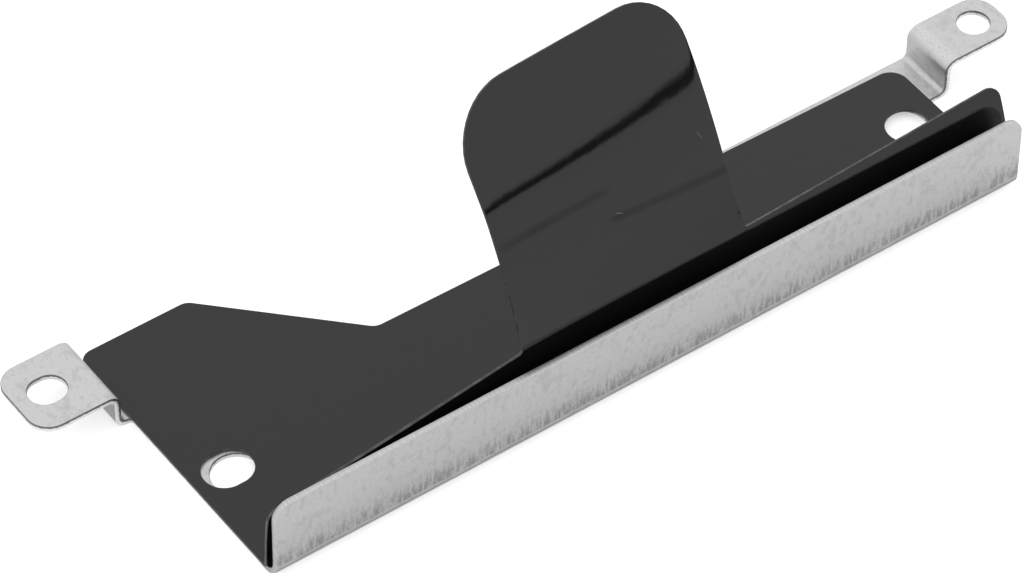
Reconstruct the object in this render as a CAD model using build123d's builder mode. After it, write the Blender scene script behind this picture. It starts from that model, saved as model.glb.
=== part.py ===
"""Bracket for the rear end of a small hard drive: a folded steel stamping and a folded film with a pull tab.

Millimetres. X runs along the flange, Y from the flange towards the drive, Z up.
The origin is midway between the two drive screw holes, on the underside of the base plate.
"""
import math
import os

from build123d import *

# Drive screw holes
screw_spacing = 61.72
screw_hole_r = 2.0
screw_to_face = 9.95
screw_to_end = 3.225

# Sheet steel
sheet = 0.5
flange_height = 7.71
flange_corner_r = 1.5
bend_inner = 1.0
bend_outer = bend_inner + sheet
strip_depth = 15.83
wide_depth = 25.84
wide_length = 9.25
plate_corner_r = 0.8

# Ears, which step up from the two ends of the plate
ear_rise = 3.0
ear_top = ear_rise + sheet
ear_bend_inner = 0.5
ear_bend_outer = ear_bend_inner + sheet
ear_corner_r = 1.9
ear_root_r = 0.4

left_ear_width = 6.88
left_web_out = 0.88
left_ear_reach = 7.72
left_slot_length = 3.1
left_slot_width = 2.7
left_slot_out = 4.96
left_slot_in = 3.39

right_ear_width = 4.83
right_web_out = 1.66
right_ear_reach = 8.7
right_hole_r = 1.31
right_hole_out = 6.24
right_hole_in = 2.41

# Base sheet of the film, depths measured from the flange's face
film = 0.25
film_left_over = 0.17
film_right_over = 0.08
film_back_left = 26.15
film_back_mid = 15.87
film_back_right = 15.19
film_diagonal_start = 9.49
film_diagonal_end = 19.7
film_corner_r = 1.2
film_right_corner_r = 1.5
film_slot_length = 4.07
film_slot_width = 3.52
film_slot_shift = (-0.385, 0.59)
film_hole_r = 1.74
film_hole_shift = (0.0, -0.45)

# Fold of the film behind the flange
fold_y = 1.2
fold_inner = 0.22
fold_outer = fold_inner + film
fold_run = 1.2
fold_lap = 0.2

# Wall and pull tab of the film, heights measured along the film from the fold
wall_left_height = 6.73
wall_right_height = 7.4
wall_right_over = 0.86
wall_corner_r = 1.2
tab_left = 23.55
tab_right = 44.26
tab_height_left = 28.97
tab_height_right = 29.14
tab_slant = 0.1125
tab_corner_left_r = 4.6
tab_corner_right_r = 5.5
tab_root_r = 0.3

# Shape of the wall: distance from the flange's left end, lean at the fold in degrees, curl radius
wall_shape = (
    (-0.4, -1.4, 85.0),
    (6.1, -5.8, 85.0),
    (12.3, -1.4, 85.0),
    (18.4, 3.6, 85.0),
    (24.0, 7.1, 85.0),
    (33.7, 11.4, 126.0),
    (43.9, 15.3, 245.0),
    (56.2, 20.0, 222.0),
    (69.2, 23.2, 204.0),
)

# Places that follow from the sizes above
left_hole_x = -screw_spacing / 2
right_hole_x = screw_spacing / 2
flange_left = left_hole_x - screw_to_end
flange_right = right_hole_x + screw_to_end
flange_length = flange_right - flange_left
face_y = -screw_to_face
strip_back = face_y + strip_depth
wide_back = face_y + wide_depth
wide_right = flange_left + wide_length
strip_left = wide_right + wide_depth - strip_depth
film_left = flange_left - film_left_over
film_right = flange_right + film_right_over
wall_end = flange_length + wall_right_over
tab_reach = max(tab_height_left, tab_height_right) + sheet


def corner(x, y):
    """Corner of the sketch in hand that lies nearest to a place, in the sketch's own axes."""
    return vertices().sort_by_distance((x, y, 0))[0]


def ear(side, end_x, web_out, reach, width):
    """Ear that steps up from the plate at end_x; side is -1 at the left end and 1 at the right."""
    web_in = end_x + side * web_out
    web_far = web_in + side * sheet
    tip = end_x + side * reach
    root = end_x - side * sheet
    with BuildPart() as made:
        with BuildSketch(Plane.XZ):
            with BuildLine():
                Polyline(
                    (root, 0),
                    (web_far, 0),
                    (web_far, ear_rise),
                    (tip, ear_rise),
                    (tip, ear_top),
                    (web_in, ear_top),
                    (web_in, sheet),
                    (root, sheet),
                    close=True,
                )
            make_face()
            fillet(corner(web_far, 0), ear_bend_outer)
            fillet(corner(web_in, ear_top), ear_bend_outer)
            fillet(corner(web_in, sheet), ear_bend_inner)
            fillet(corner(web_far, ear_rise), ear_bend_inner)
        extrude(amount=width)
        fillet(made.edges().filter_by(Axis.Z).sort_by(Axis.X, reverse=side > 0)[:2], ear_corner_r)
    return made.part


with BuildPart() as bracket:
    with BuildSketch():
        with BuildLine():
            Polyline(
                (flange_left, face_y + bend_outer),
                (flange_right, face_y + bend_outer),
                (flange_right, strip_back),
                (strip_left, strip_back),
                (wide_right, wide_back),
                (flange_left, wide_back),
                close=True,
            )
        make_face()
        fillet(corner(wide_right, wide_back), plate_corner_r)
        fillet(corner(strip_left, strip_back), plate_corner_r)
    extrude(amount=sheet)
    with BuildSketch(Plane.YZ.offset(flange_left)):
        with BuildLine():
            Polyline(
                (face_y + bend_outer + sheet, 0),
                (face_y, 0),
                (face_y, flange_height),
                (face_y + sheet, flange_height),
                (face_y + sheet, sheet),
                (face_y + bend_outer + sheet, sheet),
                close=True,
            )
        make_face()
        fillet(corner(face_y, 0), bend_outer)
        fillet(corner(face_y + sheet, sheet), bend_inner)
    extrude(amount=flange_length)
    top_corners = bracket.edges().filter_by(Axis.Y).group_by(Axis.Z)[-1].sort_by(Axis.X)
    fillet([top_corners[0], top_corners[-1]], flange_corner_r)
    with Locations((0, wide_back, 0)):
        add(ear(-1, flange_left, left_web_out, left_ear_reach, left_ear_width))
    with Locations((0, strip_back, 0)):
        add(ear(1, flange_right, right_web_out, right_ear_reach, right_ear_width))
    upright = bracket.edges().filter_by(Axis.Z)
    left_root = upright.sort_by_distance((flange_left, wide_back - left_ear_width, 0))[0]
    right_root = upright.sort_by_distance((flange_right, strip_back - right_ear_width, 0))[0]
    fillet([left_root, right_root], ear_root_r)
    with BuildSketch():
        with Locations((left_hole_x, 0), (right_hole_x, 0)):
            Circle(screw_hole_r)
        with Locations((flange_left - left_slot_out, wide_back - left_slot_in)):
            SlotOverall(left_slot_length, left_slot_width)
        with Locations((flange_right + right_hole_out, strip_back - right_hole_in)):
            Circle(right_hole_r)
    extrude(amount=ear_top, mode=Mode.SUBTRACT)

bracket.part.label = "bracket"


def shape_at(x):
    """Lean in radians and curl per millimetre of the wall, at a distance from the flange's left end."""
    for (x0, lean0, radius0), (x1, lean1, radius1) in zip(wall_shape, wall_shape[1:]):
        if x <= x1:
            break
    part_way = (x - x0) / (x1 - x0)
    lean = math.radians(lean0 + (lean1 - lean0) * part_way)
    return lean, (1 - part_way) / radius0 + part_way / radius1


def on_wall(x, height, off):
    """Point (y, z) on the curled wall, at a height along it, off its middle towards the back."""
    lean, curl = shape_at(x)
    turned = lean + height * curl
    y = face_y + fold_y + (math.cos(lean) - math.cos(turned)) / curl + off * math.cos(turned)
    z = sheet + film / 2 + (math.sin(turned) - math.sin(lean)) / curl - off * math.sin(turned)
    return y, z


def at_fold(x, off, level):
    """Point (y, z) where one face of the wall, run straight down, meets a level of the base sheet."""
    y, z = on_wall(x, 0, off)
    return y + (level - z) * math.tan(shape_at(x)[0]), level


def wall_height(x):
    """Height of the wall along the film, which grows steadily from its left end to its right end."""
    part_way = (x + film_left_over) / (wall_end + film_left_over)
    return wall_left_height + (wall_right_height - wall_left_height) * part_way


def front_point(x, height):
    """Point (x, z) of the wall's middle as it is seen from the front."""
    return flange_left + x, on_wall(x, height, 0)[1]


with BuildPart() as wall:
    for station in [row[0] for row in wall_shape]:
        outer = at_fold(station, -film / 2, sheet)
        inner = at_fold(station, film / 2, sheet + film)
        base_end = face_y + fold_y + fold_run
        front_face = [on_wall(station, h, -film / 2) for h in (tab_reach / 2, tab_reach)]
        back_face = [on_wall(station, h, film / 2) for h in (tab_reach, tab_reach / 2)]
        with BuildSketch(Plane.YZ.offset(flange_left + station)):
            with BuildLine():
                Line((base_end, sheet), outer)
                ThreePointArc(outer, *front_face)
                Line(front_face[1], back_face[0])
                ThreePointArc(*back_face, inner)
                Polyline(inner, (base_end, sheet + film), (base_end, sheet))
            make_face()
            fillet(corner(*outer), fold_outer)
            fillet(corner(*inner), fold_inner)
    loft()

with BuildPart() as folded:
    add(wall.part)
    left_end = front_point(-film_left_over, wall_left_height)
    right_end = front_point(wall_end, wall_right_height)
    left_root = front_point(tab_left, wall_height(tab_left))
    right_root = front_point(tab_right, wall_height(tab_right))
    slant_left = tab_slant * (tab_height_left - wall_height(tab_left))
    slant_right = tab_slant * (tab_height_right - wall_height(tab_right))
    left_top = front_point(tab_left - slant_left, tab_height_left)
    right_top = front_point(tab_right - slant_right, tab_height_right)
    stations = [row[0] for row in wall_shape]
    left_of_tab = [front_point(x, wall_height(x)) for x in stations if 0 < x < tab_left]
    right_of_tab = [front_point(x, wall_height(x)) for x in stations if tab_right < x < wall_end]
    with BuildSketch(Plane.XZ):
        with BuildLine():
            Polyline(
                (film_left, 0),
                left_end,
                *left_of_tab,
                left_root,
                left_top,
                right_top,
                right_root,
                *right_of_tab,
                right_end,
                (right_end[0], 0),
                close=True,
            )
        make_face()
        fillet([corner(*left_end), corner(*right_end)], wall_corner_r)
        fillet(corner(*left_top), tab_corner_left_r)
        fillet(corner(*right_top), tab_corner_right_r)
        fillet([corner(*left_root), corner(*right_root)], tab_root_r)
    extrude(amount=wide_depth, both=True, mode=Mode.INTERSECT)
    front_y = face_y + fold_y + fold_run - fold_lap
    with BuildSketch(Plane.XY.offset(sheet)):
        with BuildLine():
            Polyline(
                (film_left, front_y),
                (film_right, front_y),
                (film_right, face_y + film_back_right),
                (flange_left + film_diagonal_end, face_y + film_back_mid),
                (flange_left + film_diagonal_start, face_y + film_back_left),
                (film_left, face_y + film_back_left),
                close=True,
            )
        make_face()
        fillet(corner(film_right, face_y + film_back_right), film_right_corner_r)
        fillet(corner(flange_left + film_diagonal_start, face_y + film_back_left), film_corner_r)
        fillet(corner(film_left, face_y + film_back_left), film_corner_r)
    extrude(amount=film)
    with BuildSketch(Plane.XY.offset(sheet)):
        with Locations((left_hole_x + film_slot_shift[0], film_slot_shift[1])):
            SlotOverall(film_slot_length, film_slot_width)
        with Locations((right_hole_x + film_hole_shift[0], film_hole_shift[1])):
            Circle(film_hole_r)
    extrude(amount=film, mode=Mode.SUBTRACT)

folded.part.label = "film"

os.makedirs("parts", exist_ok=True)
export_step(bracket.part, "parts/bracket.step")
export_step(folded.part, "parts/film.step")
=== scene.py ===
"""Looks of a hard drive bracket: its folded steel sheet, its folded black film, and the studio around them.

Both sheets are made as the real ones are: a flat blank is cut out, and then it is folded.
A place on a blank is (along, back): along runs with the flange, back runs away from it.
Meshes are worked out in metres. A material reads the blank in millimetres, from the UV map "blank".
The file is laid out as an add-on with one panel, and is run as a script.
"""
import math

import bpy
import numpy as np
from bpy.props import FloatProperty, FloatVectorProperty, PointerProperty
from mathutils import Matrix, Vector
from mathutils.geometry import delaunay_2d_cdt


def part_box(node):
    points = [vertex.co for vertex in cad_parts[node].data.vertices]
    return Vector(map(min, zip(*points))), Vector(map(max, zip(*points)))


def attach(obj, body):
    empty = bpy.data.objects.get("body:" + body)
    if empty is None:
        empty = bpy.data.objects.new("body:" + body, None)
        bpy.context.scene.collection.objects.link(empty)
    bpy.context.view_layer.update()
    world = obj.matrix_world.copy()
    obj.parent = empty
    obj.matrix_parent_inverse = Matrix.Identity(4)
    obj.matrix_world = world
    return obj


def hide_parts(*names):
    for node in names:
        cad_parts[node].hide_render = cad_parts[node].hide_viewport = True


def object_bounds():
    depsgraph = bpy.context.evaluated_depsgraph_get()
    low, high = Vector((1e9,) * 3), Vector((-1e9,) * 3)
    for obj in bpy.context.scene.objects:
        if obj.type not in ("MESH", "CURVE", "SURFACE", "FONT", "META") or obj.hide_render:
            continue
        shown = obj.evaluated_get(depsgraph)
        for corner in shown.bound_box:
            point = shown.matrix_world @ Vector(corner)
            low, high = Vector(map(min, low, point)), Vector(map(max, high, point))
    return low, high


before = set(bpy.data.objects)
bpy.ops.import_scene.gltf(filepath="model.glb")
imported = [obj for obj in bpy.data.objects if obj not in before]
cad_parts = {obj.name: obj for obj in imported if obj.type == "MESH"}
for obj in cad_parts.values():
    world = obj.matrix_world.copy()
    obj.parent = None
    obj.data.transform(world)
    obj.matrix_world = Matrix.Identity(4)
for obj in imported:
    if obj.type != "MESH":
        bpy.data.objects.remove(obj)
cad_low, cad_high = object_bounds()
steel_low, steel_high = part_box("bracket")
film_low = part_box("film")[0]

bl_info = {
    "name": "Hard Drive Bracket",
    "version": (1, 0, 0),
    "blender": (4, 5, 0),
    "location": "View3D > Sidebar > Bracket",
    "description": "Folds a steel bracket and its black film from flat blanks, and sets up a studio",
    "category": "Object",
}

MM = 0.001
RIGHT_ANGLE = math.pi / 2
# Curl in radians per metre below which an arc counts as straight
LEAST_CURL = 0.01
# Largest turn between two points of a rounded corner, and the fewest points that it gets
CORNER_TURN = math.radians(8)
CORNER_POINTS = 4
# A row that crosses a stretch of an outline nearer to its ends than this share adds no point
END_SHARE = 0.02
# Points of an outline that are compared at once, and the distance in mm at which two points count as one
POINTS_AT_ONCE = 200
WELD = 1e-6
# Share of its length by which the first and the last stretch of a smooth curve run on
RUN_ON = 0.2
# Points on the quarter circle of a worn edge, and the clear strip beside it in radii of that edge
EDGE_POINTS = 4
EDGE_STRIP = 1.5
# Rings of the rim whose place between the faces has a sine above this belong to the cut edge
LEAST_CUT = 0.4
# Rows of points across each kind of bend
FLANGE_BEND_ROWS = 13
EAR_BEND_ROWS = 11
FILM_FOLD_ROWS = 9
# Half the side of the square floor in metres
FLOOR_HALF = 1.2
WHITE = (1.0, 1.0, 1.0, 1.0)
# Softness of the dark gap's edges, as a share of its half height
GAP_SOFT = 0.3


def length(name, description, millimetres):
    """A property that holds a length, whose default is given in millimetres."""
    return FloatProperty(name=name, description=description, default=millimetres * MM, unit="LENGTH", precision=5)


def colour(name, description, value):
    """A property that holds a linear colour."""
    return FloatVectorProperty(name=name, description=description, default=value, subtype="COLOR", size=3)


class SteelSizes(bpy.types.PropertyGroup):
    """Sizes of the steel sheet. The places that the frame gives aren't repeated here."""

    sheet: length("Sheet", "Thickness of the steel", 0.5)
    screw_spacing: length("Screw spacing", "Distance between the two drive screw holes", 61.72)
    screw_hole: length("Screw hole", "Radius of the drive screw holes", 2.0)
    screw_to_end: length("Screw to end", "From a drive screw hole to the end of the flange", 3.225)
    strip_depth: length("Strip depth", "Depth of the plate along most of its length", 15.83)
    wide_length: length("Wide length", "Length of the plate's wide end at the back", 9.25)
    bend_inner: length("Bend", "Inner radius of the flange's bend", 1.0)
    flange_corner: length("Flange corner", "Radius of the flange's top corners", 1.5)
    ear_bend_inner: length("Ear bend", "Inner radius of the bends at the ears", 0.5)
    ear_rise: length("Ear rise", "Height of the ears' underside over the plate's", 3.0)
    ear_corner: length("Ear corner", "Radius of the ears' outer corners", 1.9)
    ear_root: length("Ear root", "Radius where an ear leaves the plate", 0.4)
    plate_corner: length("Plate corner", "Radius of the plate's two slanted corners", 0.8)
    left_ear_width: length("Left ear width", "Width of the ear with the slot", 6.88)
    left_web_out: length("Left web out", "From the flange's end to the left ear's upright", 0.88)
    left_slot_out: length("Left slot out", "From the flange's end to the slot's middle", 4.96)
    left_slot_in: length("Left slot in", "From the ear's back edge to the slot's middle", 3.39)
    slot_length: length("Slot length", "Length of the slot in the left ear", 3.1)
    slot_width: length("Slot width", "Width of the slot in the left ear", 2.7)
    right_ear_width: length("Right ear width", "Width of the ear with the round hole", 4.83)
    right_web_out: length("Right web out", "From the flange's end to the right ear's upright", 1.66)
    right_hole: length("Right hole", "Radius of the hole in the right ear", 1.31)
    right_hole_out: length("Right hole out", "From the flange's end to the hole's middle", 6.24)
    right_hole_in: length("Right hole in", "From the ear's back edge to the hole's middle", 2.41)
    edge_round: length("Edge round", "Radius that the cut edges are worn to", 0.05)
    mesh_step: length("Mesh step", "Distance between points on the flat parts", 0.8)


class FilmSizes(bpy.types.PropertyGroup):
    """Sizes of the black film. Heights are measured along the film from its fold."""

    film: length("Film", "Thickness of the film", 0.25)
    fold_place: length("Fold place", "From the flange's face to the middle of the film at its fold", 1.2)
    fold_inner: length("Fold radius", "Inner radius of the fold", 0.22)
    back_left: length("Back left", "From the flange's face to the back edge at the wide end", 26.15)
    back_mid: length("Back middle", "From the flange's face to the back edge beside the slanted edge", 15.87)
    back_right: length("Back right", "From the flange's face to the back edge at the right end", 15.19)
    diagonal_start: length("Slanted edge start", "From the flange's left end to the slanted edge's back end", 9.49)
    diagonal_end: length("Slanted edge end", "From the flange's left end to the slanted edge's front end", 19.7)
    corner: length("Corner", "Radius of the base's left corners", 1.2)
    right_corner: length("Right corner", "Radius of the base's right corner", 1.5)
    right_over: length("Right over", "How far the base passes the flange's right end", 0.08)
    slot_length: length("Slot length", "Length of the left opening", 4.07)
    slot_width: length("Slot width", "Width of the left opening", 3.52)
    slot_along: length("Slot along", "Left opening's place from the screw hole, along the flange", -0.385)
    slot_back: length("Slot back", "Left opening's place from the screw hole, away from the flange", 0.59)
    hole: length("Hole", "Radius of the right opening", 1.76)
    hole_along: length("Hole along", "Right opening's place from the screw hole, along the flange", 0.12)
    hole_back: length("Hole back", "Right opening's place from the screw hole, away from the flange", -0.4)
    wall_left: length("Wall left", "Height of the wall at its left end", 6.29)
    wall_at_tab: length("Wall at tab", "Height of the wall at both roots of the tab", 7.79)
    wall_right: length("Wall right", "Height of the wall at its right end", 9.1)
    wall_corner: length("Wall corner", "Radius of the wall's top corners", 1.2)
    tab_left: length("Tab left", "From the flange's left end to the tab's left root", 22.83)
    tab_right: length("Tab right", "From the flange's left end to the tab's right root", 43.75)
    tab_height_left: length("Tab height left", "Height of the tab at its left corner", 28.85)
    tab_height_right: length("Tab height right", "Height of the tab at its right corner", 28.52)
    slant_left: FloatProperty(name="Left slant", description="Sideways slant of the tab's left edge", default=0.062)
    slant_right: FloatProperty(name="Right slant", description="Sideways slant of the tab's right edge", default=0.05)
    slant_end: FloatProperty(name="End slant", description="Sideways slant of the wall's right end", default=0.075)
    tab_corner_left: length("Tab left corner", "Radius of the tab's left corner", 4.95)
    tab_corner_right: length("Tab right corner", "Radius of the tab's right corner", 5.1)
    tab_root: length("Tab root", "Radius where the tab leaves the wall", 0.3)
    edge_round: length("Edge round", "Radius of the film's cut edges", 0.03)
    mesh_step: length("Mesh step", "Distance between points on the film", 0.7)


class Finishes(bpy.types.PropertyGroup):
    """Colours of the surfaces."""

    steel: colour("Steel", "Zinc coated steel", (0.66, 0.66, 0.66))
    steel_dull: colour("Dull steel", "Duller grains of the zinc", (0.53, 0.53, 0.53))
    # The steel marks colour also paints shade over the lower part of the flange
    steel_dark: colour("Steel marks and shade", "Press marks on the steel", (0.25, 0.25, 0.25))
    steel_sheared: colour("Sheared steel", "Half of a cut edge that the punch left smooth and dark", (0.2, 0.2, 0.2))
    # The torn steel colour also paints a highlight along the right ear's upper bend
    steel_torn_and_highlight: colour("Torn steel and highlight", "Half of a cut edge that broke off pale", (0.76, 0.76, 0.76))
    film: colour("Film", "Body of the black film", (0.0048, 0.0048, 0.005))
    film_cut: colour("Cut film", "Cut edges and scratches of the film", (0.11, 0.11, 0.11))
    floor: colour("Floor", "Studio floor", (0.93, 0.93, 0.93))
    gap: colour("Gap", "Dark gap in the sky at the horizon", (0.02, 0.02, 0.02))


class Studio(bpy.types.PropertyGroup):
    """Where the camera stands, and how strong the light is."""

    azimuth: FloatProperty(name="Azimuth", description="Camera's turn from straight in front",
                           default=math.radians(-36.139), subtype="ANGLE")
    elevation: FloatProperty(name="Elevation", description="Camera's height angle",
                             default=math.radians(46.73), subtype="ANGLE")
    roll: FloatProperty(name="Roll", description="Camera's turn about its own axis",
                        default=math.radians(0.6231), subtype="ANGLE")
    distance: length("Distance", "From the camera to the point that it looks at", 449.451)
    aim: FloatVectorProperty(name="Aim", description="Point that the camera looks at",
                             default=(-0.0038082, 0.0033176, 0.0008389), subtype="XYZ", size=3)
    lens: FloatProperty(name="Lens", description="Focal length in millimetres on a 36 mm sensor", default=210.94)
    sky: FloatProperty(name="Sky", description="Strength of the light from all sides", default=0.95)
    gap: FloatProperty(name="Gap", description="Half the height of the dark gap at the horizon that gloss mirrors",
                       default=math.radians(1.5), subtype="ANGLE")
    floor_glow: FloatProperty(name="Floor glow", description="White that the camera alone adds to the floor",
                              default=0.45)


def settings(name):
    """The values of one of this file's groups of properties."""
    return getattr(bpy.context.scene, name)


def rounded_outline(corners, radii, step):
    """Closed outline through corners in counterclockwise order, with an arc of its own radius at each.

    An arc touches both sides at radius / tan(half the corner's angle) from the corner, and its centre lies on
    the bisector. Straight stretches get points no further apart than step.
    """
    corners = np.array(corners, float)
    arcs = []
    for before, here, after, radius in zip(np.roll(corners, 1, 0), corners, np.roll(corners, -1, 0), radii):
        to_before = (before - here) / np.linalg.norm(before - here)
        to_after = (after - here) / np.linalg.norm(after - here)
        half = math.acos(np.clip(to_before @ to_after, -1, 1)) / 2
        bisector = (to_before + to_after) / np.linalg.norm(to_before + to_after)
        centre = here + bisector * radius / math.sin(half)
        start = here + to_before * radius / math.tan(half) - centre
        end = here + to_after * radius / math.tan(half) - centre
        first = math.atan2(start[1], start[0])
        turn = (math.atan2(end[1], end[0]) - first + math.pi) % (2 * math.pi) - math.pi
        count = max(CORNER_POINTS, math.ceil(abs(turn) / CORNER_TURN))
        angle = first + turn * np.linspace(0, 1, count)
        arcs.append(centre + radius * np.column_stack([np.cos(angle), np.sin(angle)]))
    points = []
    for arc, following in zip(arcs, arcs[1:] + arcs[:1]):
        gap = np.linalg.norm(following[0] - arc[-1])
        share = np.linspace(0, 1, max(2, math.ceil(gap / step) + 1))[1:-1, None]
        points += [arc, arc[-1] * (1 - share) + following[0] * share]
    return np.vstack(points)


def opening(centre, long_way, short_way, count=72):
    """Clockwise outline of a round hole, or of a slot with round ends that is long_way by short_way.

    A circle of half of short_way is pulled apart along the first axis by what long_way has more.
    """
    angle = -np.linspace(0, 2 * math.pi, count, endpoint=False) - math.pi / count
    ring = np.column_stack([np.cos(angle), np.sin(angle)]) * short_way / 2
    ring[:, 0] += np.sign(ring[:, 0]) * (long_way - short_way) / 2
    return ring + np.array(centre)


def cross_rows(points, rows, axis):
    """Adds a point wherever the closed outline crosses one of the rows, which are places along axis 0 or 1.

    A stretch from a to b crosses a row at the share (row - a) / (b - a) of its length.
    """
    here = points[:, axis][:, None]
    there = np.roll(points, -1, 0)[:, axis][:, None]
    with np.errstate(divide="ignore", invalid="ignore"):
        share = (np.array(rows)[None, :] - here) / (there - here)
    stretch, row = np.nonzero((share > END_SHARE) & (share < 1 - END_SHARE))
    order = np.sort(np.concatenate([np.arange(len(points)), stretch + share[stretch, row]]))
    closed = np.vstack([points, points[:1]])
    index = np.arange(len(closed))
    return np.column_stack([np.interp(order, index, closed[:, 0]), np.interp(order, index, closed[:, 1])])


def outward(points):
    """Unit vectors that point off the material along a closed outline: the path's direction turned clockwise."""
    way = np.roll(points, -1, 0) - np.roll(points, 1, 0)
    way /= np.linalg.norm(way, axis=1)[:, None]
    return np.column_stack([way[:, 1], -way[:, 0]])


def inside(points, loops):
    """Whether each point lies on the material. A line from such a point to one side crosses the loops at an odd
    number of places, each found as x = x0 + (y - y0) * (x1 - x0) / (y1 - y0) on a stretch that passes y.
    """
    crossings = np.zeros(len(points), int)
    for loop in loops:
        x0, y0 = loop.T[:, :, None]
        x1, y1 = np.roll(loop, -1, 0).T[:, :, None]
        above = (y0 > points[:, 1]) != (y1 > points[:, 1])
        with np.errstate(divide="ignore", invalid="ignore"):
            at = x0 + (points[:, 1] - y0) * (x1 - x0) / (y1 - y0)
        crossings += (above & (points[:, 0] < at)).sum(0)
    return crossings % 2 == 1


def levels(along, step, dense):
    """Places that are step apart over all that along spans, with each dense set of rows in place of those near it."""
    places = np.arange(along.min(), along.max(), step)
    for rows in dense:
        places = places[(places < rows[0] - step / 3) | (places > rows[-1] + step / 3)]
        places = np.concatenate([places, rows])
    return np.sort(places)


def cut_blank(loops, along_levels, back_levels, clear):
    """Triangles that fill a blank. The loops are its outline and holes; the levels make the grid of points in it.

    Grid points nearer to a loop than clear are left out. The triangulation may put its points in a new order, so
    its triangles are renamed to the order of the points given to it. Returns the flat points, of which the loops'
    own come first, and the triangles.
    """
    edge = np.vstack(loops)
    grid = np.array(np.meshgrid(along_levels, back_levels)).reshape(2, -1).T
    grid = grid[inside(grid, loops)]
    near = np.ones(len(grid), bool)
    for block in np.array_split(edge, math.ceil(len(edge) / POINTS_AT_ONCE)):
        near &= (np.abs(grid[:, None, :] - block[None]).max(2) > clear).all(1)
    grid = grid[near]
    links = []
    first = 0
    for loop in loops:
        index = np.arange(len(loop))
        links.append(np.column_stack([index, np.roll(index, -1)]) + first)
        first += len(loop)
    flat = np.vstack([edge, grid])
    made = delaunay_2d_cdt((flat / MM).tolist(), np.vstack(links).tolist(), [], 1, WELD)
    sources = [len(group) for group in made[3]]
    renamed = np.empty(len(flat), int)
    renamed[np.concatenate(made[3])] = np.repeat(np.arange(len(made[0])), sources)
    back_to_input = np.empty(len(made[0]), int)
    back_to_input[renamed] = np.arange(len(flat))
    triangles = back_to_input[np.array(made[2])]
    middles = flat[triangles].mean(1)
    return flat, triangles[inside(middles, loops)]


def fold_blank(name, loops, levels_along, levels_back, thickness, edge_round, place):
    """Mesh of a sheet that is cut from a blank, given its thickness with rounded edges, and folded.

    place(flat, height) gives the points in space for places on the blank and heights over its middle.
    The rim is a profile carried round each loop: a quarter circle, a straight stretch and a quarter circle.
    A quarter circle of radius r lies r * (1 - sin a) in from the outline and r * (1 - cos a) under the face.
    """
    support = EDGE_STRIP * edge_round
    half = thickness / 2
    angle = np.linspace(0, RIGHT_ANGLE, EDGE_POINTS)
    inset = np.concatenate([[edge_round + support], edge_round * (1 - np.sin(angle))])
    height = np.concatenate([[half], half - edge_round * (1 - np.cos(angle))])
    inset = np.concatenate([inset, inset[::-1]])
    height = np.concatenate([height, -height[::-1]])
    away = [outward(loop) for loop in loops]
    inner = [loop - out * inset[0] for loop, out in zip(loops, away)]
    flat, triangles = cut_blank(inner, levels_along, levels_back, 2 * support)
    count = len(flat)
    flats = [flat, flat]
    heights = [np.full(count, half), np.full(count, -half)]
    cut = [np.zeros(2 * count)]
    faces = [triangles, triangles[:, ::-1] + count]
    quads = []
    rings = len(inset) - 2
    on_cut = np.sin(np.pi * np.arange(1, rings + 1) / (rings + 1)) > LEAST_CUT
    first_edge = 0
    total = 2 * count
    for loop, out in zip(loops, away):
        size = len(loop)
        flats.append((loop[None] - out[None] * inset[1:-1, None, None]).reshape(-1, 2))
        heights.append(np.repeat(height[1:-1], size))
        cut.append(np.repeat(on_cut, size).astype(float))
        top = first_edge + np.arange(size)
        rows = np.vstack([top, total + np.arange(rings * size).reshape(rings, size), top + count])
        after = np.roll(rows, -1, 1)
        quads.append(np.stack([rows[:-1], rows[1:], after[1:], after[:-1]], -1).reshape(-1, 4))
        first_edge += size
        total += rings * size
    flats = np.vstack(flats)
    heights = np.concatenate(heights)
    mesh = bpy.data.meshes.new(name)
    polygons = np.vstack(faces).tolist() + np.vstack(quads).tolist()
    mesh.from_pydata(place(flats, heights).tolist(), [], polygons)
    mesh.polygons.foreach_set("use_smooth", np.ones(len(polygons), bool))
    add_values(mesh, "cut", np.concatenate(cut))
    add_values(mesh, "face_side", heights / half)
    corner_vertex = np.empty(len(mesh.loops), np.int32)
    mesh.loops.foreach_get("vertex_index", corner_vertex)
    layer = mesh.uv_layers.new(name="blank")
    layer.uv.foreach_set("vector", (flats[corner_vertex] / MM).astype(np.float32).ravel())
    mesh.update()
    return mesh


def add_values(mesh, name, values):
    """Puts one number on each point of a mesh."""
    mesh.attributes.new(name, "FLOAT", "POINT").data.foreach_set("value", values.astype(np.float32))


def walk_path(distance, runs):
    """Place and direction at a distance along a path of straight runs and arcs, each (length, turn in radians).

    Returns (forward, up, angle). Beyond the last run the path goes straight on, and before its start it lies flat.
    An arc of length s and turn a has the radius s / a, and its chord is added as
    radius * (sin(end) - sin(start)) forward and radius * (cos(start) - cos(end)) up.
    """
    forward = np.minimum(distance, 0.0)
    up = np.zeros_like(forward)
    angle = np.zeros_like(forward)
    left = np.maximum(distance, 0.0)
    heading = 0.0
    for run, turn in runs:
        part = np.clip(left, 0, run)
        if turn:
            radius = run / turn
            end = heading + part / radius
            forward = forward + radius * (np.sin(end) - math.sin(heading))
            up = up + radius * (math.cos(heading) - np.cos(end))
            angle = angle + part / radius
        else:
            forward = forward + part * math.cos(heading)
            up = up + part * math.sin(heading)
        heading += turn
        left = left - part
    return forward + left * math.cos(heading), up + left * math.sin(heading), angle


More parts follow.
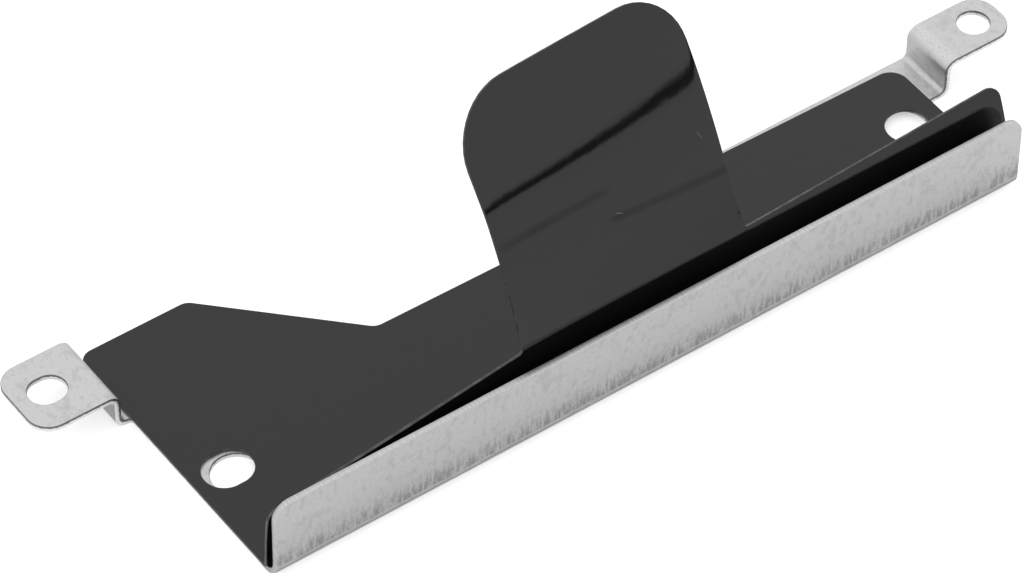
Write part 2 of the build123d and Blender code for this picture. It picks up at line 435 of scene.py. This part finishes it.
def along_arcs(distance, heading, arcs):
    """Place and heading at a distance along a chain of arcs, each (start, curl), where curl is turn per metre.

    An arc that turns from a to b goes (cos(a) - cos(b)) / curl behind and (sin(b) - sin(a)) / curl up.
    Headings are measured from straight up. Returns (behind, above, heading).
    """
    behind = np.zeros_like(distance)
    above = np.zeros_like(distance)
    ends = [start for start, curl in arcs[1:]] + [math.inf]
    for (start, curl), end in zip(arcs, ends):
        curl = np.where(np.abs(curl) < LEAST_CURL, LEAST_CURL, curl)
        turned = heading + curl * (np.clip(distance, start, end) - start)
        behind = behind + (np.cos(heading) - np.cos(turned)) / curl
        above = above + (np.sin(turned) - np.sin(heading)) / curl
        heading = turned
    return behind, above, heading


def smooth_between(x, stations, values):
    """Smooth curve through values at stations. Each stretch is a cubic, whose end slopes come from its neighbours.

    With t from 0 to 1 along a stretch of length h, from a to b with slopes p and q, the value is
    a (1 + 2t)(1 - t)^2 + p h t (1 - t)^2 + b t^2 (3 - 2t) + q h t^2 (t - 1).
    """
    slopes = np.gradient(values, stations)
    index = np.clip(np.searchsorted(stations, x) - 1, 0, len(stations) - 2)
    span = stations[index + 1] - stations[index]
    t = np.clip((x - stations[index]) / span, -RUN_ON, 1 + RUN_ON)
    start = values[index] * (1 + 2 * t) * (1 - t) ** 2 + slopes[index] * span * t * (1 - t) ** 2
    return start + values[index + 1] * t ** 2 * (3 - 2 * t) + slopes[index + 1] * span * t ** 2 * (t - 1)


class SteelBlank:
    """Flat blank of the steel, and the folding that turns it into the bracket."""

    def __init__(self, sizes):
        self.sizes = sizes
        self.left = -sizes.screw_spacing / 2 - sizes.screw_to_end
        self.right = -self.left
        self.face = steel_low[1]
        self.half = sizes.sheet / 2
        self.bend_outer = sizes.bend_inner + sizes.sheet
        bend_middle = sizes.bend_inner + self.half
        self.bend = bend_middle * RIGHT_ANGLE
        self.flange_top = self.bend_outer - self.bend - (steel_high[2] - self.bend_outer)
        ear_middle = sizes.ear_bend_inner + self.half
        self.ear_bend = ear_middle * RIGHT_ANGLE
        self.web_run = sizes.ear_rise - 2 * ear_middle

    def ear_start(self, web_out):
        """From the flange's end to the start of the ear's first bend."""
        return web_out - self.sizes.ear_bend_inner

    def right_crest(self):
        """From the flange's end to the painted highlight, which is in the right ear's upper bend."""
        return self.ear_start(self.sizes.right_web_out) + (1 + PAINTED_HIGHLIGHT_PLACE) * self.ear_bend + self.web_run

    def ear_unfolded(self, web_out, out):
        """Distance along the blank from the flange's end to a place on the ear that lies out from it.

        Two bends and the upright between them take the place of the three bend radii that they span when folded.
        """
        return out + 2 * self.ear_bend + self.web_run - 3 * self.sizes.ear_bend_inner

    def outline(self):
        """Loops of the blank: its outline, and its four openings."""
        s = self.sizes
        wide_back = steel_high[1] - self.face
        left_tip = self.left - self.ear_unfolded(s.left_web_out, self.left - steel_low[0])
        right_tip = self.right + self.ear_unfolded(s.right_web_out, steel_high[0] - self.right)
        wide_right = self.left + s.wide_length
        corners, radii = zip(
            ((self.left, self.flange_top), s.flange_corner),
            ((self.right, self.flange_top), s.flange_corner),
            ((self.right, s.strip_depth - s.right_ear_width), s.ear_root),
            ((right_tip, s.strip_depth - s.right_ear_width), s.ear_corner),
            ((right_tip, s.strip_depth), s.ear_corner),
            ((wide_right + wide_back - s.strip_depth, s.strip_depth), s.plate_corner),
            ((wide_right, wide_back), s.plate_corner),
            ((left_tip, wide_back), s.ear_corner),
            ((left_tip, wide_back - s.left_ear_width), s.ear_corner),
            ((self.left, wide_back - s.left_ear_width), s.ear_root),
        )
        edge = rounded_outline(corners, radii, s.mesh_step / 2)
        edge = cross_rows(edge, self.bend_rows(), 1)
        edge = cross_rows(edge, self.ear_columns(), 0)
        slot_along = self.left - self.ear_unfolded(s.left_web_out, s.left_slot_out)
        hole_along = self.right + self.ear_unfolded(s.right_web_out, s.right_hole_out)
        screw_back = -self.face
        return [
            edge,
            opening((-s.screw_spacing / 2, screw_back), 2 * s.screw_hole, 2 * s.screw_hole),
            opening((s.screw_spacing / 2, screw_back), 2 * s.screw_hole, 2 * s.screw_hole),
            opening((slot_along, wide_back - s.left_slot_in), s.slot_length, s.slot_width),
            opening((hole_along, s.strip_depth - s.right_hole_in), 2 * s.right_hole, 2 * s.right_hole),
        ]

    def bend_rows(self):
        """Rows of points across the flange's bend."""
        return np.linspace(self.bend_outer - self.bend, self.bend_outer, FLANGE_BEND_ROWS)

    def ear_columns(self):
        """Columns of points across the two bends of each ear."""
        s = self.sizes
        columns = []
        for side, end, web_out in ((-1, self.left, s.left_web_out), (1, self.right, s.right_web_out)):
            start = self.ear_start(web_out)
            for first in (start, start + self.ear_bend + self.web_run):
                columns.append(end + side * np.linspace(first, first + self.ear_bend, EAR_BEND_ROWS))
        return np.sort(np.concatenate(columns))

    def place(self, flat, height):
        """Folds the blank: the flange turns up round its bend, and each ear steps up and goes out again."""
        s = self.sizes
        along, back = flat.T
        forward, up, angle = walk_path(self.bend_outer - back, [(self.bend, RIGHT_ANGLE)])
        x = along.copy()
        y = self.face + self.bend_outer - forward + height * np.sin(angle)
        z = self.half + up + height * np.cos(angle)
        for side, end, web_out in ((-1, self.left, s.left_web_out), (1, self.right, s.right_web_out)):
            start = self.ear_start(web_out)
            past = side * (along - end) - start
            on_ear = (past > 0) & (back > self.bend_outer)
            step_path = [(self.ear_bend, RIGHT_ANGLE), (self.web_run, 0.0), (self.ear_bend, -RIGHT_ANGLE)]
            forward, up, angle = walk_path(past, step_path)
            x = np.where(on_ear, end + side * (start + forward - height * np.sin(angle)), x)
            z = np.where(on_ear, self.half + up + height * np.cos(angle), z)
        return np.column_stack([x, y, z])


class FilmBlank:
    """Flat blank of the film, and the folding and curling that turn it into the base, the wall and the tab.

    On this blank back is the distance behind the fold on the base, and less than zero up the wall.
    """

    # Distance from the flange's left end in mm, lean at the fold in degrees and curl in degrees per mm of the wall,
    # at its left end, near both roots of the tab, and at its right end
    WALL_SHAPE = (
        (0.0, -0.9, -1.16),
        (24.0, -0.2, 1.24),
        (44.0, -2.3, 3.35),
        (69.0, -1.8, 2.42),
    )
    # Height in mm at which a stretch of the tab starts, and its curl in degrees per mm at the left and right edges
    TAB_SHAPE = (
        (9.0, 1.86, -1.26),
        (14.0, 0.67, 0.86),
        (18.8, 3.36, 0.8),
        (20.8, 0.33, 1.22),
        (23.0, -0.22, 0.67),
    )
    # Faint creases of the tab as (along, back) of both ends on the blank in mm
    CREASES = (((-11.4, -17.0), (-1.4, -16.55)), ((-1.5, -14.15), (9.5, -12.8)))
    # Fine scratches on the tab, given in the same way
    SCRATCHES = (((-1.1, -14.5), (-0.5, -14.2)), ((7.45, -16.95), (7.85, -16.2)))

    def __init__(self, sizes, steel):
        self.sizes = sizes
        self.steel = steel
        self.left = film_low[0]
        self.right = steel.right + sizes.right_over
        self.middle_z = steel.sizes.sheet + sizes.film / 2
        self.fold_y = steel.face + sizes.fold_place
        self.fold_radius = sizes.fold_inner + sizes.film / 2
        self.tab_left = steel.left + sizes.tab_left
        self.tab_right = steel.left + sizes.tab_right

    def outline(self):
        """Loops of the blank: its outline, and the two openings over the drive screw holes."""
        s = self.sizes
        start = self.steel.left
        left_top = self.tab_left - s.slant_left * (s.tab_height_left - s.wall_at_tab)
        right_top = self.tab_right - s.slant_right * (s.tab_height_right - s.wall_at_tab)
        corners, radii = zip(
            ((self.left, -s.wall_left), s.wall_corner),
            ((self.tab_left, -s.wall_at_tab), s.tab_root),
            ((left_top, -s.tab_height_left), s.tab_corner_left),
            ((right_top, -s.tab_height_right), s.tab_corner_right),
            ((self.tab_right, -s.wall_at_tab), s.tab_root),
            ((self.right - s.slant_end * s.wall_right, -s.wall_right), s.wall_corner),
            ((self.right, 0.0), s.wall_corner),
            ((self.right, s.back_right - s.fold_place), s.right_corner),
            ((start + s.diagonal_end, s.back_mid - s.fold_place), s.corner),
            ((start + s.diagonal_start, s.back_left - s.fold_place), s.corner),
            ((self.left, s.back_left - s.fold_place), s.corner),
        )
        edge = rounded_outline(corners, radii, s.mesh_step / 2)
        edge = cross_rows(edge, self.fold_rows(), 1)
        screw = self.steel.sizes.screw_spacing / 2
        return [
            edge,
            opening((-screw + s.slot_along, s.slot_back - self.fold_y), s.slot_length, s.slot_width),
            opening((screw + s.hole_along, s.hole_back - self.fold_y), 2 * s.hole, 2 * s.hole),
        ]

    def fold_rows(self):
        """Rows of points across the fold."""
        return np.linspace(-self.fold_radius, self.fold_radius, FILM_FOLD_ROWS)

    def lean_and_arcs(self, along):
        """Lean at the fold for places along the film, and the arcs (start, curl) of the film above it."""
        shape = np.array(self.WALL_SHAPE)
        stations = self.steel.left + shape[:, 0] * MM
        lean = smooth_between(along, stations, np.radians(shape[:, 1]))
        arcs = [(0.0, np.interp(along, stations, np.radians(shape[:, 2]) / MM))]
        for start, left, right in self.TAB_SHAPE:
            ends = np.radians([left, right]) / MM
            arcs.append((start * MM, np.interp(along, [self.tab_left, self.tab_right], ends)))
        return lean, arcs

    def place(self, flat, height):
        """Folds the blank up by a right angle less the wall's lean, and curls it along the arcs above the fold.

        The tab's shape is read along lines that slant as its left edge does. The fold is an arc of its own
        radius that touches the base and the wall at radius * tan(half its angle) from their corner.
        """
        along, back = flat.T
        leftwards = self.sizes.slant_left * np.maximum(-back - self.sizes.wall_at_tab, 0.0)
        lean, arcs = self.lean_and_arcs(along + leftwards)
        behind, above, turned = along_arcs(np.maximum(-back, 0.0), lean, arcs)
        wall_y = behind + height * np.cos(turned)
        wall_z = above - height * np.sin(turned)
        tangent = self.fold_radius * np.tan((RIGHT_ANGLE - lean) / 2)
        share = np.clip((self.fold_radius - back) / (2 * self.fold_radius), 0, 1)
        angle = share * (RIGHT_ANGLE - lean)
        fold_y = tangent - self.fold_radius * np.sin(angle) + height * np.sin(angle)
        fold_z = self.fold_radius * (1 - np.cos(angle)) + height * np.cos(angle)
        on_wall = back < -self.fold_radius
        on_base = back > self.fold_radius
        y = np.where(on_wall, wall_y, np.where(on_base, back, fold_y))
        z = np.where(on_wall, wall_z, np.where(on_base, height, fold_z))
        return np.column_stack([along, self.fold_y + y, self.middle_z + z])


class Term:
    """A value in a material. Sums written on it add Math nodes, with numbers or other values on either side."""

    def __init__(self, tree, socket):
        self.tree = tree
        self.socket = socket

    def math(self, operation, *others):
        """A Math node of this value and others, in this order."""
        return self.tree.node("Math", {"operation": operation}, [self, *others])

    def after(self, operation, other):
        """A Math node of another value and this one, in this order."""
        return self.tree.node("Math", {"operation": operation}, [other, self])

    def __add__(self, other):
        return self.math("ADD", other)

    def __sub__(self, other):
        return self.math("SUBTRACT", other)

    def __mul__(self, other):
        return self.math("MULTIPLY", other)

    def __truediv__(self, other):
        return self.math("DIVIDE", other)

    def __radd__(self, other):
        return self.after("ADD", other)

    def __rsub__(self, other):
        return self.after("SUBTRACT", other)

    def __rmul__(self, other):
        return self.after("MULTIPLY", other)

    def __rtruediv__(self, other):
        return self.after("DIVIDE", other)

    def size(self):
        """The value without its sign."""
        return self.math("ABSOLUTE")


class Tree:
    """Node tree of a material or of the world, emptied, with the calls that fill it."""

    def __init__(self, owner):
        owner.use_nodes = True
        self.tree = owner.node_tree
        self.tree.nodes.clear()

    def node(self, kind, changes=None, inputs=(), output=0):
        """Adds a node of a type, sets its own settings and then its inputs, and returns one of its outputs."""
        made = self.tree.nodes.new("ShaderNode" + kind)
        for name, value in (changes or {}).items():
            setattr(made, name, value)
        named = inputs.items() if isinstance(inputs, dict) else enumerate(inputs)
        for name, value in named:
            if isinstance(value, Term):
                self.tree.links.new(value.socket, made.inputs[name])
            else:
                made.inputs[name].default_value = value
        return Term(self, made.outputs[output]) if made.outputs else None

    def smooth(self, value, low, high):
        """0 below low, 1 above high, and a smooth rise between them; low may be the higher one."""
        return self.node("MapRange", {"interpolation_type": "SMOOTHSTEP"}, [value, low, high, 0.0, 1.0])

    def blend(self, share, first, second):
        """Mix of two colours, each a value or four numbers: the first at share 0, the second at share 1."""
        return self.node("Mix", {"data_type": "RGBA"}, {0: share, 6: first, 7: second}, output=2)

    def noise(self, place, scale, detail=2.0, roughness=0.5):
        """Noise from 0 to 1 and 0.5 in the middle, with about scale bumps per millimetre of the blank."""
        inputs = {"Vector": place, "Scale": scale, "Detail": detail, "Roughness": roughness}
        return self.node("TexNoise", {"noise_dimensions": "2D"}, inputs)

    def stretched(self, place, along, back):
        """Place on the blank with its two directions stretched by factors of their own."""
        return self.node("Mapping", {}, {"Vector": place, "Scale": (along, back, 1.0)})

    def blank(self):
        """Place on the flat blank in millimetres, and its two parts."""
        place = self.node("UVMap", {"uv_map": "blank"})
        return place, self.node("SeparateXYZ", {}, [place]), self.node("SeparateXYZ", {}, [place], output=1)

    def point_value(self, name):
        """One of the values that fold_blank puts on the points."""
        return self.node("Attribute", {"attribute_name": name}, (), output=2)

    def finish(self, surface):
        """Joins a shader to the output."""
        self.node("OutputMaterial", {}, {"Surface": surface})


def rgba(value):
    """A colour property as the four numbers that a node takes."""
    return (*value, 1.0)


# Value about which a noise swings
NOISE_MIDDLE = 0.5
# Roughness of both surfaces where nothing changes it
STEEL_ROUGH = 0.42
FILM_ROUGH = 0.065
# Steel: heights in mm up the flange from its bend, the painted highlight's place in the ear's bend as a share of it,
# half of that highlight's width in mm, and how strongly each shows
MARKS_TOP, MARKS_SHARE = 2.8, 0.6
# The next line is painted shade that darkens the lower part of the flange
PAINTED_SHADE_TOP, PAINTED_SHADE_SHARE = 4.5, 0.12
SCORE_BELOW, SCORE_SHARE = 0.35, 0.45
PAINTED_HIGHLIGHT_PLACE, PAINTED_HIGHLIGHT_HALF, PAINTED_HIGHLIGHT_SHARE = 0.8, 0.6, 0.8
# Depth of the zinc's grain and of the film's waviness in metres
STEEL_RELIEF = 0.00003
FILM_RELIEF = 0.00001
# Film: half widths of a crease and a scratch in mm, and the refraction of polyester
CREASE_HALF = 0.6
SCRATCH_HALF = 0.06
FILM_IOR = 1.52


def swing(noise, amount):
    """A noise that swings about zero, times amount."""
    return (noise - NOISE_MIDDLE) * amount


def press_marks_and_shade(tree, blank, place, back, outer, speck):
    """How dark the press marks and the painted shade make the flange's outside, from 0 to 1, and how rough it is
    there.

    Uneven streaks stand over the bend. A scored line runs along the bend. Shade is painted over the lower part of the
    flange, so that it grows paler upwards.
    """
    above = (blank.bend_outer - blank.bend) / MM - back
    streaks = tree.noise(tree.stretched(place, 3.0, 0.5), 1.0, 3.0, 0.75)
    zone = tree.smooth(above, MARKS_TOP, 0.1) * tree.smooth(above, -0.1, 0.1) * outer
    marks = tree.smooth(streaks + zone * 0.2 + swing(speck, 0.3), 0.54, 0.82) * zone
    wander = swing(tree.noise(tree.stretched(place, 0.25, 0.0), 1.0), 0.5)
    score = tree.smooth((above + SCORE_BELOW + wander).size(), 0.22, 0.04) * outer
    # Painted shade: darkest just above the bend, fading out higher up the flange
    painted_shade = tree.smooth(above, PAINTED_SHADE_TOP, 0.3) * tree.smooth(above, -0.6, -0.2) * outer
    dark = (marks * MARKS_SHARE + score * SCORE_SHARE + painted_shade * PAINTED_SHADE_SHARE).math("MINIMUM", 1.0)
    return dark, streaks * zone


def steel_edge(tree, finish, side, on_ear, grain, speck):
    """Colour of a cut edge: dark where the punch sheared it, at the top side, and pale where it tore off."""
    sheared = tree.smooth(side + swing(grain, 0.8), 0.1, 0.3) * (on_ear * 0.8 + 0.2)
    torn = tree.blend(tree.smooth(speck, 0.2, 0.9), rgba(finish.steel_dull), rgba(finish.steel_torn_and_highlight))
    torn = tree.blend(on_ear, torn, WHITE)
    return tree.blend(sheared, torn, rgba(finish.steel_sheared))


def steel_material():
    """Zinc coated steel: mottled pale grey, press marks over the flange's bend, painted shade over the flange's lower
    part, a painted highlight on the right ear's upper bend, and two-toned cut edges.
    """
    finish = settings("bracket_finishes")
    blank = SteelBlank(settings("bracket_steel"))
    material = bpy.data.materials.new("steel")
    tree = Tree(material)
    place, along, back = tree.blank()
    cut = tree.point_value("cut")
    side = tree.point_value("face_side")
    outer = tree.smooth(side, 0.0, -0.5)
    on_ear = tree.smooth(back, blank.bend_outer / MM, blank.bend_outer / MM + 1.0)

    # Grains of the zinc, and duller patches among them
    grain = tree.noise(place, 3.0, 3.0, 0.6)
    speck = tree.noise(place, 6.0, 2.0, 0.7)
    cloud = tree.noise(place, 0.35)
    patch = tree.noise(tree.stretched(place, 1.0, 0.7), 1.6, 3.0, 0.65)
    dull = tree.smooth(patch + swing(cloud, 0.5), 0.5, 0.68) * 0.55 + tree.smooth(grain, 0.5, 0.75) * 0.3
    base = tree.blend(dull, rgba(finish.steel), rgba(finish.steel_dull))

    # Press marks, and painted shade over the lower part of the flange
    dark, relief = press_marks_and_shade(tree, blank, place, back, outer, speck)
    base = tree.blend(dark, base, rgba(finish.steel_dark))

    # Painted highlight along the right ear's upper bend, in the torn steel colour
    crest = (blank.right + blank.right_crest()) / MM
    # Mask of the painted highlight, mottled by the specks
    worn = tree.smooth((along - crest).size(), PAINTED_HIGHLIGHT_HALF, 0.25) * tree.smooth(speck, 0.4, 0.6) * on_ear
    base = tree.blend(worn * PAINTED_HIGHLIGHT_SHARE, base, rgba(finish.steel_torn_and_highlight))

    base = tree.blend(cut, base, steel_edge(tree, finish, side, on_ear, grain, speck))
    rough = STEEL_ROUGH + swing(grain, 0.2) + dark * 0.1
    height = grain * 0.6 + patch * 0.8 + relief * 1.5
    bump = tree.node("Bump", {}, {"Strength": 0.5, "Distance": STEEL_RELIEF, "Height": height})
    tree.finish(tree.node("BsdfPrincipled", {}, {
        "Base Color": base, "Metallic": 1.0, "Roughness": rough, "Normal": bump,
    }))
    return material


def near_line(tree, along, back, line, width):
    """Distance from a line on the blank as a share of width, and how far a point lies between the line's ends.

    The line's place at a point is its level plus its slope times the distance from its first end.
    """
    (first, level), (last, end_level) = line
    slope = (end_level - level) / (last - first)
    over = (back - level - (along - first) * slope) / width
    between = tree.smooth(along, first - width, first + width) * tree.smooth(along, last + width, last - width)
    return over.size(), between


def film_material():
    """Black film: nearly no colour of its own, a smooth gloss with creases and scratches, and paler cut edges."""
    finish = settings("bracket_finishes")
    material = bpy.data.materials.new("black_film")
    tree = Tree(material)
    place, along, back = tree.blank()
    cut = tree.point_value("cut")
    haze = tree.noise(place, 0.25, 3.0)
    depth = tree.noise(place, 0.3, 1.0) * 0.3 + 0.1
    crease = 0.0
    for line in FilmBlank.CREASES:
        over, between = near_line(tree, along, back, line, CREASE_HALF)
        crease = crease + tree.smooth(over, 1.0, 0.0) * between * depth
    bright = cut * (tree.smooth(tree.noise(place, 1.2), 0.4, 0.7) * 0.4 + 0.25)
    for line in FilmBlank.SCRATCHES:
        over, between = near_line(tree, along, back, line, SCRATCH_HALF)
        bright = bright + tree.smooth(over, 1.0, 0.3) * between
    base = tree.blend(bright, rgba(finish.film), rgba(finish.film_cut))
    rough = FILM_ROUGH + swing(haze, 0.02) + cut * 0.3
    bump = tree.node("Bump", {}, {"Strength": 1.0, "Distance": FILM_RELIEF, "Height": haze})
    gloss = tree.node("BsdfPrincipled", {}, {
        "Base Color": base, "Roughness": rough, "IOR": FILM_IOR, "Normal": bump,
    })
    dull = tree.node("BsdfDiffuse", {}, {"Color": rgba(finish.film)})
    tree.finish(tree.node("MixShader", {}, [crease, gloss, dull]))
    return material


def put_in_scene(mesh, material, node):
    """Makes a mesh the piece that stands for a node of the frame."""
    mesh.materials.append(material)
    piece = bpy.data.objects.new(mesh.name, mesh)
    bpy.context.scene.collection.objects.link(piece)
    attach(piece, "root")
    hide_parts(node)


class BRACKET_OT_steel(bpy.types.Operator):
    """Cut and fold the steel sheet with its flange and ears"""

    bl_idname = "bracket.steel"
    bl_label = "Steel Sheet"

    def execute(self, context):
        """Makes the mesh of the steel and puts it in place of the solid."""
        sizes = settings("bracket_steel")
        blank = SteelBlank(sizes)
        loops = blank.outline()
        ears = blank.ear_columns().reshape(-1, EAR_BEND_ROWS)
        along = levels(loops[0][:, 0], sizes.mesh_step, ears)
        back = levels(loops[0][:, 1], sizes.mesh_step, [blank.bend_rows()])
        mesh = fold_blank("steel_sheet", loops, along, back, sizes.sheet, sizes.edge_round, blank.place)
        put_in_scene(mesh, steel_material(), "bracket")
        return {"FINISHED"}


class BRACKET_OT_film(bpy.types.Operator):
    """Cut, fold and curl the black film with its wall and pull tab"""

    bl_idname = "bracket.film"
    bl_label = "Black Film"

    def execute(self, context):
        """Makes the mesh of the film and puts it in place of the solid."""
        sizes = settings("bracket_film")
        blank = FilmBlank(sizes, SteelBlank(settings("bracket_steel")))
        loops = blank.outline()
        along = levels(loops[0][:, 0], sizes.mesh_step, [])
        back = levels(loops[0][:, 1], sizes.mesh_step, [blank.fold_rows()])
        mesh = fold_blank("film_sheet", loops, along, back, sizes.film, sizes.edge_round, blank.place)
        put_in_scene(mesh, film_material(), "film")
        return {"FINISHED"}


def camera_axes(studio):
    """Right, up and back vectors of the camera, from its azimuth, elevation and roll."""
    a, e, r = studio.azimuth, studio.elevation, studio.roll
    back = np.array([math.sin(a) * math.cos(e), -math.cos(a) * math.cos(e), math.sin(e)])
    level = np.array([math.cos(a), math.sin(a), 0.0])
    upright = np.cross(back, level)
    right = math.cos(r) * level + math.sin(r) * upright
    up = math.cos(r) * upright - math.sin(r) * level
    return right, up, back


class BRACKET_OT_studio(bpy.types.Operator):
    """Set up the pale floor, the soft light and the camera"""

    bl_idname = "bracket.studio"
    bl_label = "Studio"

    def execute(self, context):
        """Makes the camera, the floor and the sky."""
        studio = settings("bracket_studio")
        finish = settings("bracket_finishes")
        scene = context.scene
        self.camera(scene, studio)
        self.floor(scene, studio, finish)
        self.sky(scene, studio, finish)
        scene.view_settings.view_transform = "Standard"
        return {"FINISHED"}

    def camera(self, scene, studio):
        """Puts the camera back from its aim by its distance, with its axes as the columns of its matrix."""
        data = bpy.data.cameras.new("camera")
        data.lens = studio.lens
        data.clip_start = 0.01
        holder = bpy.data.objects.new("camera", data)
        right, up, back = camera_axes(studio)
        place = np.array(studio.aim) + back * studio.distance
        rows = np.column_stack([right, up, back, place]).tolist()
        holder.matrix_world = Matrix(rows + [[0, 0, 0, 1]])
        scene.collection.objects.link(holder)
        scene.camera = holder

    def floor(self, scene, studio, finish):
        """Lays a square under the bracket. The camera sees a little white on it that lights nothing."""
        mesh = bpy.data.meshes.new("floor")
        around = ((-1, -1), (1, -1), (1, 1), (-1, 1))
        corners = [(x * FLOOR_HALF, y * FLOOR_HALF, cad_low[2]) for x, y in around]
        mesh.from_pydata(corners, [], [(0, 1, 2, 3)])
        material = bpy.data.materials.new("floor")
        tree = Tree(material)
        seen = tree.node("LightPath")
        diffuse = tree.node("BsdfDiffuse", {}, {"Color": rgba(finish.floor)})
        glow = tree.node("Emission", {}, {"Color": WHITE, "Strength": seen * studio.floor_glow})
        tree.finish(tree.node("AddShader", {}, [diffuse, glow]))
        mesh.materials.append(material)
        piece = bpy.data.objects.new("floor", mesh)
        scene.collection.objects.link(piece)

    def sky(self, scene, studio, finish):
        """Even white all round, with a dark gap where a ray's rise is near zero. The camera doesn't see the gap."""
        world = bpy.data.worlds.new("studio")
        tree = Tree(world)
        way = tree.node("SeparateXYZ", {}, [tree.node("TexCoord")], output=2)
        seen = tree.node("LightPath")
        gap = tree.smooth(way.size(), studio.gap * (1 + GAP_SOFT), studio.gap * (1 - GAP_SOFT)) * (1.0 - seen)
        shade = tree.blend(gap, WHITE, rgba(finish.gap))
        light = tree.node("Background", {}, {"Color": shade, "Strength": studio.sky})
        tree.node("OutputWorld", {}, {"Surface": light})
        scene.world = world


class BRACKET_PT_panel(bpy.types.Panel):
    """Buttons that make each piece of the bracket"""

    bl_label = "Bracket"
    bl_space_type = "VIEW_3D"
    bl_region_type = "UI"
    bl_category = "Bracket"

    def draw(self, context):
        """One button for each operator."""
        for operator in OPERATORS:
            self.layout.operator(operator.bl_idname)


GROUPS = {
    "bracket_steel": SteelSizes,
    "bracket_film": FilmSizes,
    "bracket_finishes": Finishes,
    "bracket_studio": Studio,
}
OPERATORS = (BRACKET_OT_studio, BRACKET_OT_steel, BRACKET_OT_film)


def register():
    """Adds the groups of properties to the scene, the operators and the panel."""
    for name, group in GROUPS.items():
        bpy.utils.register_class(group)
        setattr(bpy.types.Scene, name, PointerProperty(type=group))
    for cls in (*OPERATORS, BRACKET_PT_panel):
        bpy.utils.register_class(cls)


def unregister():
    """Takes away what register adds, in the opposite order."""
    for cls in (BRACKET_PT_panel, *reversed(OPERATORS)):
        bpy.utils.unregister_class(cls)
    for name, group in reversed(GROUPS.items()):
        delattr(bpy.types.Scene, name)
        bpy.utils.unregister_class(group)


def main():
    """Makes everything."""
    register()
    bpy.ops.bracket.studio()
    bpy.ops.bracket.steel()
    bpy.ops.bracket.film()


if __name__ == "__main__":
    main()
